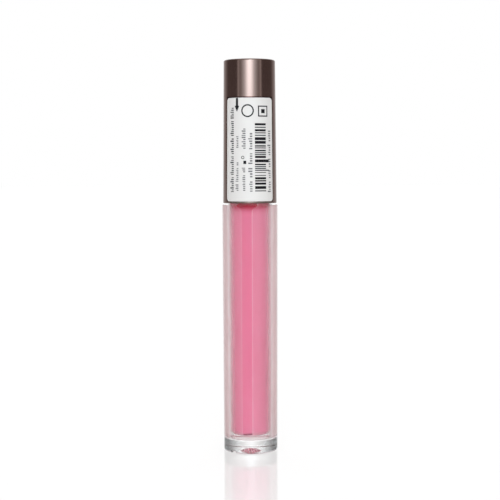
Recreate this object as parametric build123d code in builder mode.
from build123d import *
import math
import os

os.makedirs("parts", exist_ok=True)

# Lip gloss tube, millimetres. +Z is up, the origin is the middle of the base,
# and every turned piece has its axis on Z. The label faces -Y.

# ---------------------------------------------------------------- bottle
# A thick clear shell moulded over a thin milky vial that holds the gloss.
BASE_R = 8.28           # shell radius at the foot
SHOULDER_R = 8.53       # shell radius at the shoulder: the mould's draft
SHOULDER_Z = 76.0
FOOT_EDGE = 0.35        # rounded lower edge
SHOULDER_EDGE = 0.40    # rounded upper edge
GATE_R = 2.60           # domed gate recess under the base
GATE_DEPTH = 1.05
NOTCH_ANGLE = -40.0     # small slanted moulding flat on the foot, from -Y
NOTCH_WIDTH = 1.90
NOTCH_DEPTH = 0.62

VIAL_FLOOR_Z = 3.75     # underside of the vial, on the shell's solid base
VIAL_LOW_R = 5.28
VIAL_TOP_R = 5.36
VIAL_EDGE = 0.60
VIAL_FIT = 0.01         # clearance between the vial and the shell
COLLAR_R = 6.70         # vial's flange, on the shell's shoulder
COLLAR_Z = 77.1
NECK_R = 5.85           # neck, at the root of its thread
NECK_TOP_Z = 86.0

CAVITY_FLOOR_Z = 4.70
CAVITY_R_LOW = 4.22     # straight core pulled out through the neck
CAVITY_R_TOP = 4.36
CAVITY_DISH = 0.45      # the floor rises this much to its edge
CAVITY_EDGE = 1.60      # rounded floor edge

# ---------------------------------------------------------------- thread
LEAD = 3.0
THREAD_TURNS = 1.5
THREAD_Z = 78.7         # middle of the neck ridge where it starts
NECK_CREST_R = 6.35
CAP_CREST_R = 6.41      # inner cap's ridge, clear of the neck's crest
RIDGE_ROOT = 1.30       # ridge width at its root
RIDGE_CREST = 0.60

# ---------------------------------------------------------------- wand
STEM_R = 1.05
SHANK_R = 2.00          # thick upper end, held in the inner cap
SHANK_LOW_Z = 84.6
STEM_TOP_Z = 96.6
STEM_LOW_Z = 22.0       # the stem ends here and the tip begins
PIN_R = 0.42
PIN_LOW_Z = 15.5
CORE_R = 0.78
CORE_LOW_Z = 5.85
TIP_R = 1.05            # over the flocking
TIP_LOW_Z = 5.50
TIP_TOP_Z = 21.9
BEAD_Z = 93.2           # snap bead on the shank
BEAD_H = 0.9

# ---------------------------------------------------------------- wiper
FLANGE_R = 5.30
FLANGE_T = 0.70
WIPER_R = 4.30
WIPER_BORE_R = 3.45
WIPER_LIP_R = 1.10      # wipes the stem
WIPER_LIP_Z = 74.0
BARB_R = 4.40           # holds the wiper in the neck

# ---------------------------------------------------------------- cap
CAP_LOW_Z = 76.5
CAP_TOP_Z = 120.0
CAP_LOW_R = 8.25
CAP_TOP_R = 7.875
CAP_WALL = 0.72
CAP_ROOF = 1.10
CAP_TOP_EDGE = 0.45
CAP_LOW_EDGE = 0.18

LINER_LOW_Z = 77.5
LINER_CEILING_Z = 87.56
LINER_FLOOR_T = 1.20
LINER_TOP_Z = 101.0
LINER_BORE_R = 6.86     # root of the inner cap's thread
LINER_GAP = 0.06        # to the shell, bridged by the crush ribs
BOSS_R = 3.40
CRUSH_RIBS = 8

RING_R = 5.70
RING_BORE_R = 2.12
RING_LOW_Z = 86.72
RING_TOP_Z = 87.54

# ---------------------------------------------------------------- label
LABEL_LOW_Z = 77.15
LABEL_TOP_Z = 108.3
LABEL_HALF_DEG = 56.0
LABEL_T = 0.09
LABEL_CORNER = 1.0


def cap_outer_r(z):
    """Radius of the cap shell's drafted outside at height z."""
    t = (z - CAP_LOW_Z) / (CAP_TOP_Z - CAP_LOW_Z)
    return CAP_LOW_R + (CAP_TOP_R - CAP_LOW_R) * t


def cap_inner_r(z):
    return cap_outer_r(z) - CAP_WALL


def half_plane(angle_deg):
    """Upright plane through Z: its x runs outwards at this angle, its y is up."""
    a = math.radians(angle_deg)
    return Plane(
        origin=(0, 0, 0),
        x_dir=(math.cos(a), math.sin(a), 0),
        z_dir=(math.sin(a), -math.cos(a), 0),
    )


def ridge_points(root_r, crest_r, overlap):
    """Trapezoid of a screw ridge, in a plane whose x is radial from the root."""
    out = 1 if crest_r > root_r else -1
    rise = abs(crest_r - root_r)
    return [
        (-out * overlap, -RIDGE_ROOT / 2),
        (-out * overlap, RIDGE_ROOT / 2),
        (out * rise, RIDGE_CREST / 2),
        (out * rise, -RIDGE_CREST / 2),
    ]


# ---------------------------------------------------------------- shell
with BuildPart() as bottle_shell:
    with BuildSketch(Plane.XZ) as shell_section:
        with BuildLine():
            Polyline(
                (0, 0),
                (BASE_R, 0),
                (SHOULDER_R, SHOULDER_Z),
                (VIAL_TOP_R + VIAL_FIT, SHOULDER_Z),
                (VIAL_LOW_R + VIAL_FIT, VIAL_FLOOR_Z - VIAL_FIT),
                (0, VIAL_FLOOR_Z - VIAL_FIT),
                close=True,
            )
        make_face()
        corners = shell_section.vertices()
        fillet(corners.filter_by(lambda v: v.X > 8 and abs(v.Y) < 0.01), FOOT_EDGE)
        fillet(
            corners.filter_by(lambda v: v.X > 8 and abs(v.Y - SHOULDER_Z) < 0.01),
            SHOULDER_EDGE,
        )
        fillet(
            corners.filter_by(lambda v: 1 < v.X < 6 and abs(v.Y - VIAL_FLOOR_Z) < 0.05),
            VIAL_EDGE + VIAL_FIT,
        )
    revolve(axis=Axis.Z)
    # domed gate recess
    with BuildSketch(Plane.XZ):
        with BuildLine():
            Line((0, 0), (GATE_R, 0))
            RadiusArc(
                (GATE_R, 0),
                (0, GATE_DEPTH),
                -(GATE_R**2 + GATE_DEPTH**2) / (2 * GATE_DEPTH),
            )
            Line((0, GATE_DEPTH), (0, 0))
        make_face()
    revolve(axis=Axis.Z, mode=Mode.SUBTRACT)
    # slanted flat on the foot's edge
    turn = math.radians(NOTCH_ANGLE)
    outward = Vector(math.sin(turn), -math.cos(turn), 0)
    with BuildSketch(
        Plane(
            origin=outward * BASE_R - (outward - Vector(0, 0, 1)) * (NOTCH_DEPTH / 2**0.5),
            x_dir=Vector(math.cos(turn), math.sin(turn), 0),
            z_dir=outward - Vector(0, 0, 1),
        )
    ):
        RectangleRounded(NOTCH_WIDTH, 2.6, 0.4)
    extrude(amount=2, mode=Mode.SUBTRACT)
bottle_shell.part.label = "bottle_shell"
export_step(bottle_shell.part, "parts/bottle_shell.step")

# ---------------------------------------------------------------- vial
with BuildPart() as inner_vial:
    with BuildSketch(Plane.XZ) as vial_section:
        with BuildLine():
            Polyline(
                (0, VIAL_FLOOR_Z),
                (VIAL_LOW_R, VIAL_FLOOR_Z),
                (VIAL_TOP_R, SHOULDER_Z + VIAL_FIT),
                (COLLAR_R, SHOULDER_Z + VIAL_FIT),
                (COLLAR_R, COLLAR_Z - 0.35),
                (COLLAR_R - 0.35, COLLAR_Z),
                (NECK_R, COLLAR_Z),
                (NECK_R, NECK_TOP_Z - 0.25),
                (NECK_R - 0.25, NECK_TOP_Z),
                (0, NECK_TOP_Z),
                close=True,
            )
        make_face()
        fillet(
            vial_section.vertices().filter_by(
                lambda v: v.X > 1 and abs(v.Y - VIAL_FLOOR_Z) < 0.01
            ),
            VIAL_EDGE,
        )
    revolve(axis=Axis.Z)

    # one right-hand screw ridge round the neck
    with BuildLine(Plane.XY.offset(THREAD_Z)) as neck_helix:
        Helix(pitch=LEAD, height=LEAD * THREAD_TURNS, radius=NECK_R)
    with BuildSketch(
        Plane(
            origin=neck_helix.line @ 0,
            x_dir=(1, 0, 0),
            z_dir=neck_helix.line % 0,
        )
    ):
        with BuildLine():
            Polyline(*ridge_points(NECK_R, NECK_CREST_R, 0.25), close=True)
        make_face()
    sweep(path=neck_helix.line, is_frenet=True)

    # cavity, drawn straight out through the neck
    with BuildSketch(Plane.XZ) as cavity_section:
        with BuildLine():
            ThreePointArc(
                (0, CAVITY_FLOOR_Z),
                (CAVITY_R_LOW / 2, CAVITY_FLOOR_Z + CAVITY_DISH / 4),
                (CAVITY_R_LOW, CAVITY_FLOOR_Z + CAVITY_DISH),
            )
            Polyline(
                (CAVITY_R_LOW, CAVITY_FLOOR_Z + CAVITY_DISH),
                (CAVITY_R_TOP, NECK_TOP_Z + 0.5),
                (0, NECK_TOP_Z + 0.5),
                (0, CAVITY_FLOOR_Z),
            )
        make_face()
        fillet(
            cavity_section.vertices().filter_by(
                lambda v: v.X > 1 and abs(v.Y - CAVITY_FLOOR_Z - CAVITY_DISH) < 0.01
            ),
            CAVITY_EDGE,
        )
    revolve(axis=Axis.Z, mode=Mode.SUBTRACT)
inner_vial.part.label = "inner_vial"
export_step(inner_vial.part, "parts/inner_vial.step")

# ---------------------------------------------------------------- wiper
# Flange on the neck's rim, sleeve in the bore, then a trumpet down to the lip.
TRUMPET_TOP_Z = 78.9
TRUMPET_OUT_R = 1.32    # outside of the lip
with BuildPart() as wiper:
    with BuildSketch(Plane.XZ) as wiper_section:
        with BuildLine():
            Polyline(
                (WIPER_BORE_R, TRUMPET_TOP_Z + 0.7),
                (WIPER_BORE_R, NECK_TOP_Z + FLANGE_T - 0.3),
                (WIPER_BORE_R + 0.3, NECK_TOP_Z + FLANGE_T),
                (FLANGE_R, NECK_TOP_Z + FLANGE_T),
                (FLANGE_R, NECK_TOP_Z),
                (WIPER_R, NECK_TOP_Z),
                (WIPER_R, 84.6),
                (BARB_R, 84.3),
                (WIPER_R, 83.5),
                (WIPER_R, 81.6),
                (BARB_R, 81.3),
                (WIPER_R, 80.5),
                (WIPER_R, TRUMPET_TOP_Z),
                (TRUMPET_OUT_R, 75.0),
                (TRUMPET_OUT_R, WIPER_LIP_Z),
                (WIPER_LIP_R, WIPER_LIP_Z),
                (WIPER_LIP_R, 75.3),
                close=True,
            )
        make_face()
        bends = wiper_section.vertices()
        fillet(bends.filter_by(lambda v: abs(v.Y - 75.0) < 0.01), 2.4)
        fillet(bends.filter_by(lambda v: abs(v.Y - 75.3) < 0.01), 2.8)
        fillet(
            bends.filter_by(
                lambda v: abs(v.Y - TRUMPET_TOP_Z) < 0.01
                or abs(v.Y - TRUMPET_TOP_Z - 0.7) < 0.01
            ),
            1.2,
        )
    revolve(axis=Axis.Z)
wiper.part.label = "wiper"
export_step(wiper.part, "parts/wiper.step")

# ---------------------------------------------------------------- gloss
# Fills the cavity up round the wiper's trumpet, with a way for the wand.
GLOSS_GAP = 0.01
with BuildPart() as lip_gloss:
    with BuildSketch(Plane.XZ) as gloss_section:
        with BuildLine():
            ThreePointArc(
                (0, CAVITY_FLOOR_Z + GLOSS_GAP),
                (CAVITY_R_LOW / 2, CAVITY_FLOOR_Z + CAVITY_DISH / 4 + GLOSS_GAP),
                (CAVITY_R_LOW - GLOSS_GAP, CAVITY_FLOOR_Z + CAVITY_DISH + GLOSS_GAP),
            )
            Polyline(
                (CAVITY_R_LOW - GLOSS_GAP, CAVITY_FLOOR_Z + CAVITY_DISH + GLOSS_GAP),
                (CAVITY_R_TOP - 0.012 - GLOSS_GAP, 78.4),
                (0, 78.4),
                (0, CAVITY_FLOOR_Z + GLOSS_GAP),
            )
        make_face()
        fillet(
            gloss_section.vertices().filter_by(
                lambda v: v.X > 1
                and abs(v.Y - CAVITY_FLOOR_Z - CAVITY_DISH - GLOSS_GAP) < 0.01
            ),
            CAVITY_EDGE,
        )
    revolve(axis=Axis.Z)
    # hollow that the wiper's trumpet stands in
    with BuildSketch(Plane.XZ) as trumpet_section:
        with BuildLine():
            Polyline(
                (0, 80.5),
                (WIPER_R + 0.5, 80.5),
                (WIPER_R + 0.5, 78.95),
                (WIPER_R + 0.03, TRUMPET_TOP_Z),
                (TRUMPET_OUT_R + 0.03, 74.98),
                (TRUMPET_OUT_R + 0.03, WIPER_LIP_Z - 0.02),
                (0, WIPER_LIP_Z - 0.02),
                close=True,
            )
        make_face()
        fillet(
            trumpet_section.vertices().filter_by(lambda v: abs(v.Y - 74.98) < 0.001),
            2.4,
        )
        fillet(
            trumpet_section.vertices().filter_by(
                lambda v: abs(v.Y - TRUMPET_TOP_Z) < 0.001
            ),
            0.4,
        )
    revolve(axis=Axis.Z, mode=Mode.SUBTRACT)
    # the wand's channel, closed at the bottom
    with BuildSketch(Plane.XY.offset(TIP_LOW_Z - 0.06)):
        Circle(STEM_R + 0.05)
    extrude(until=Until.LAST, mode=Mode.SUBTRACT)
lip_gloss.part.label = "lip_gloss"
export_step(lip_gloss.part, "parts/lip_gloss.step")

# ---------------------------------------------------------------- sealing ring
with BuildPart() as sealing_ring:
    with BuildSketch(Plane.XY.offset(RING_LOW_Z)):
        Circle(RING_R)
        Circle(RING_BORE_R, mode=Mode.SUBTRACT)
    extrude(amount=RING_TOP_Z - RING_LOW_Z)
    fillet(sealing_ring.edges().filter_by(GeomType.CIRCLE), 0.12)
sealing_ring.part.label = "sealing_ring"
export_step(sealing_ring.part, "parts/sealing_ring.step")

# ---------------------------------------------------------------- cap shell
with BuildPart() as cap_shell:
    with BuildSketch(Plane.XZ):
        with BuildLine():
            Polyline(
                (0, CAP_TOP_Z),
                (CAP_TOP_R, CAP_TOP_Z),
                (CAP_LOW_R, CAP_LOW_Z),
                (cap_inner_r(CAP_LOW_Z), CAP_LOW_Z),
                (cap_inner_r(CAP_TOP_Z - CAP_ROOF), CAP_TOP_Z - CAP_ROOF),
                (0, CAP_TOP_Z - CAP_ROOF),
                close=True,
            )
        make_face()
    revolve(axis=Axis.Z)
    rims = cap_shell.edges().filter_by(GeomType.CIRCLE)
    fillet(rims.filter_by(lambda e: abs(e.radius - CAP_TOP_R) < 0.01), CAP_TOP_EDGE)
    fillet(rims.filter_by(lambda e: abs(e.radius - CAP_LOW_R) < 0.01), CAP_LOW_EDGE)
    fillet(
        rims.filter_by(
            lambda e: abs(e.radius - cap_inner_r(CAP_TOP_Z - CAP_ROOF)) < 0.01
        ),
        0.6,
    )
cap_shell.part.label = "cap_shell"
export_step(cap_shell.part, "parts/cap_shell.step")

# ---------------------------------------------------------------- cap liner
ROOF_Z = LINER_CEILING_Z + LINER_FLOOR_T
with BuildPart() as cap_liner:
    # skirt, ceiling and boss turned as one
    with BuildSketch(Plane.XZ):
        with BuildLine():
            Polyline(
                (LINER_BORE_R + 0.25, LINER_LOW_Z),
                (cap_inner_r(LINER_LOW_Z) - LINER_GAP, LINER_LOW_Z),
                (cap_inner_r(LINER_TOP_Z) - LINER_GAP, LINER_TOP_Z),
                (cap_inner_r(LINER_TOP_Z) - LINER_GAP - 0.75, LINER_TOP_Z),
                (cap_inner_r(ROOF_Z) - LINER_GAP - 0.75, ROOF_Z),
                (BOSS_R, ROOF_Z),
                (BOSS_R - 0.15, 98.0),
                (SHANK_R + 0.35, 98.0),
                (SHANK_R, 97.65),
                (SHANK_R, BEAD_Z + BEAD_H / 2 + 0.25),
                (SHANK_R + 0.17, BEAD_Z + BEAD_H / 2),
                (SHANK_R + 0.17, BEAD_Z - BEAD_H / 2),
                (SHANK_R, BEAD_Z - BEAD_H / 2 - 0.25),
                (SHANK_R, LINER_CEILING_Z),
                (LINER_BORE_R - 0.9, LINER_CEILING_Z),
                (LINER_BORE_R - 0.9, RING_LOW_Z + 0.1),
                (LINER_BORE_R, RING_LOW_Z - 0.8),
                (LINER_BORE_R, LINER_LOW_Z + 0.25),
                close=True,
            )
        make_face()
    revolve(axis=Axis.Z)
    # four webs from the boss to the skirt
    with BuildSketch(Plane.XY.offset(ROOF_Z - 0.1)):
        with PolarLocations(0, 4, start_angle=45):
            with Locations((BOSS_R + 1.7, 0)):
                Rectangle(4.2, 0.8)
    extrude(amount=6.0)
    # crush ribs that grip the shell
    for k in range(CRUSH_RIBS):
        with BuildSketch(half_plane(360 / CRUSH_RIBS * k + 22.5)):
            with BuildLine():
                Polyline(
                    (cap_inner_r(79.0) - 0.3, 79.0),
                    (cap_inner_r(79.6) + 0.015, 79.6),
                    (cap_inner_r(99.0) + 0.015, 99.0),
                    (cap_inner_r(99.6) - 0.3, 99.6),
                    close=True,
                )
            make_face()
        extrude(amount=0.3, both=True)
    # screw ridge inside the skirt, half a lead above the neck's
    with BuildLine(Plane.XY.offset(THREAD_Z + LEAD / 2)) as liner_helix:
        Helix(pitch=LEAD, height=LEAD * THREAD_TURNS, radius=LINER_BORE_R)
    with BuildSketch(
        Plane(
            origin=liner_helix.line @ 0,
            x_dir=(1, 0, 0),
            z_dir=liner_helix.line % 0,
        )
    ):
        with BuildLine():
            Polyline(*ridge_points(LINER_BORE_R, CAP_CREST_R, 0.2), close=True)
        make_face()
    sweep(path=liner_helix.line, is_frenet=True)
cap_liner.part.label = "cap_liner"
export_step(cap_liner.part, "parts/cap_liner.step")

# ---------------------------------------------------------------- stem
with BuildPart() as applicator_stem:
    with BuildSketch(Plane.XZ):
        with BuildLine():
            Polyline(
                (0, PIN_LOW_Z),
                (PIN_R - 0.12, PIN_LOW_Z),
                (PIN_R, PIN_LOW_Z + 0.3),
                (PIN_R, STEM_LOW_Z),
                (STEM_R, STEM_LOW_Z),
                (STEM_R, SHANK_LOW_Z - 2.4),
                (SHANK_R, SHANK_LOW_Z),
                (SHANK_R, BEAD_Z - BEAD_H / 2),
                (SHANK_R + 0.15, BEAD_Z - BEAD_H / 2 + 0.2),
                (SHANK_R + 0.15, BEAD_Z + BEAD_H / 2 - 0.2),
                (SHANK_R, BEAD_Z + BEAD_H / 2),
                (SHANK_R, STEM_TOP_Z - 0.5),
                (SHANK_R - 0.5, STEM_TOP_Z),
                (0, STEM_TOP_Z),
                close=True,
            )
        make_face()
    revolve(axis=Axis.Z)
applicator_stem.part.label = "applicator_stem"
export_step(applicator_stem.part, "parts/applicator_stem.step")

# ---------------------------------------------------------------- tip core
with BuildPart() as tip_core:
    with BuildSketch(Plane.XZ):
        with BuildLine():
            Line((PIN_R, STEM_LOW_Z), (CORE_R, STEM_LOW_Z))
            Line((CORE_R, STEM_LOW_Z), (CORE_R, CORE_LOW_Z + CORE_R))
            RadiusArc((CORE_R, CORE_LOW_Z + CORE_R), (0, CORE_LOW_Z), CORE_R)
            Polyline(
                (0, CORE_LOW_Z),
                (0, PIN_LOW_Z - 0.2),
                (PIN_R - 0.12, PIN_LOW_Z - 0.2),
                (PIN_R, PIN_LOW_Z + 0.3),
                (PIN_R, STEM_LOW_Z),
            )
        make_face()
    revolve(axis=Axis.Z)
tip_core.part.label = "tip_core"
export_step(tip_core.part, "parts/tip_core.step")

# ---------------------------------------------------------------- flocking
with BuildPart() as tip_flocking:
    with BuildSketch(Plane.XZ):
        with BuildLine():
            Line((CORE_R, TIP_TOP_Z), (TIP_R - 0.06, TIP_TOP_Z))
            Line((TIP_R - 0.06, TIP_TOP_Z), (TIP_R, TIP_TOP_Z - 0.4))
            Line((TIP_R, TIP_TOP_Z - 0.4), (TIP_R, TIP_LOW_Z + TIP_R))
            RadiusArc((TIP_R, TIP_LOW_Z + TIP_R), (0, TIP_LOW_Z), TIP_R)
            Line((0, TIP_LOW_Z), (0, CORE_LOW_Z))
            RadiusArc((0, CORE_LOW_Z), (CORE_R, CORE_LOW_Z + CORE_R), -CORE_R)
            Line((CORE_R, CORE_LOW_Z + CORE_R), (CORE_R, TIP_TOP_Z))
        make_face()
    revolve(axis=Axis.Z)
tip_flocking.part.label = "tip_flocking"
export_step(tip_flocking.part, "parts/tip_flocking.step")

# ---------------------------------------------------------------- label
# Thin film wrapped round the front of the drafted shell.
with BuildPart() as label:
    with BuildSketch(half_plane(-90 - LABEL_HALF_DEG)):
        with BuildLine():
            Polyline(
                (cap_outer_r(LABEL_LOW_Z), LABEL_LOW_Z),
                (cap_outer_r(LABEL_LOW_Z) + LABEL_T, LABEL_LOW_Z),
                (cap_outer_r(LABEL_TOP_Z) + LABEL_T, LABEL_TOP_Z),
                (cap_outer_r(LABEL_TOP_Z), LABEL_TOP_Z),
                close=True,
            )
        make_face()
    revolve(axis=Axis.Z, revolution_arc=2 * LABEL_HALF_DEG)
    corners = label.edges().filter_by(GeomType.LINE).filter_by(
        lambda e: e.length < LABEL_T * 1.5
    )
    fillet(corners, LABEL_CORNER)
label.part.label = "label"
export_step(label.part, "parts/label.step")
